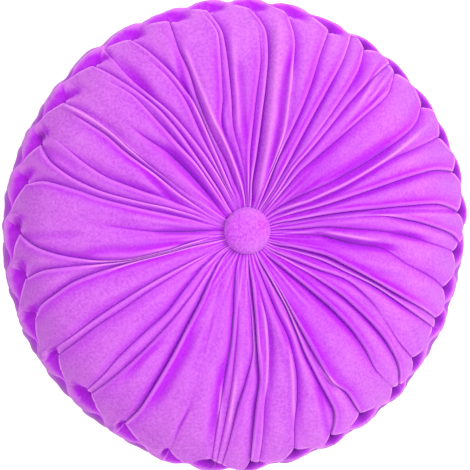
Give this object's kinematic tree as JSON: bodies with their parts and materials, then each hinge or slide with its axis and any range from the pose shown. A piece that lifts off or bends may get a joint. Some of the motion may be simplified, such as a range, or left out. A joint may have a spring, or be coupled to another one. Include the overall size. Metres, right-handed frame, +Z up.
{
  "type": "round pleated cushion",
  "caption": "Round pleated velvet pumpkin cushion with a smocked side band and a covered button at the gathered centre of each face.",
  "frame": {"origin": "centre of the cushion's outline, on the plane its back rests on", "axes": "+Z up through the cushion, out of its front face; X and Y lie in the plane it rests on"},
  "size_m": [0.383, 0.3867, 0.1015],
  "materials": {
    "cover": "velvet",
    "button": "velvet"
  },
  "bodies": {
    "root": {"cushion": "cover", "front_button": "button", "back_button": "button"}
  },
  "joints": []
}
